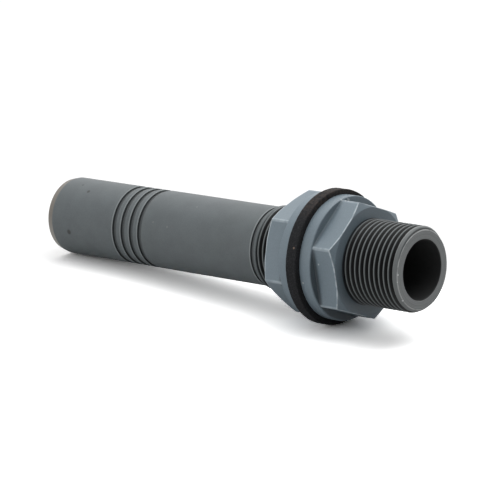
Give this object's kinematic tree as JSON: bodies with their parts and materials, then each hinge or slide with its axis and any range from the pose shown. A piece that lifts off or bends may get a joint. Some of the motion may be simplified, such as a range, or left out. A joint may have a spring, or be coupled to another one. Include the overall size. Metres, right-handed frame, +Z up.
{
  "type": "tank nipple",
  "caption": "Plastic pipe nipple with a threaded end, flange nuts and a rubber gasket that clamp it in a tank wall; the plain end has saw-tooth grip rings for a hose.",
  "frame": {"origin": "on the floor, below the middle of the fitting's length and width, as it lies at rest", "axes": "+X along the fitting towards its threaded end (the fitting's own axis rises 4.61 degrees above +X, because the gasket is wider than the tube), +Z up"},
  "size_m": [0.1464, 0.0422, 0.0424],
  "materials": {
    "nipple_plastic": "satin, dark grey PVC-U",
    "nut_plastic": "satin, blue-grey moulded plastic",
    "gasket_rubber": "matt, slightly porous cut rubber"
  },
  "bodies": {
    "nipple": {"nipple": "nipple_plastic", "back_nut": "nut_plastic"},
    "gasket": {"gasket": "gasket_rubber"},
    "front_nut": {"front_nut": "nut_plastic"}
  },
  "joints": [
    {"name": "gasket_slide", "type": "slide", "parent": "nipple", "child": "gasket", "axis": [0.9968, 0, 0.0804], "range_m": [0, 0.02]},
    {"name": "front_nut_turn", "type": "hinge", "parent": "gasket", "child": "front_nut", "pos_m": [0.04629, 0, 0.02182], "axis": [0.9968, 0, 0.0804], "range_deg": [0, 3960]}
  ],
  "couplings": [
    {"joint": "gasket_slide", "follows": "front_nut_turn", "m_per_rad": 0.00028871}
  ]
}
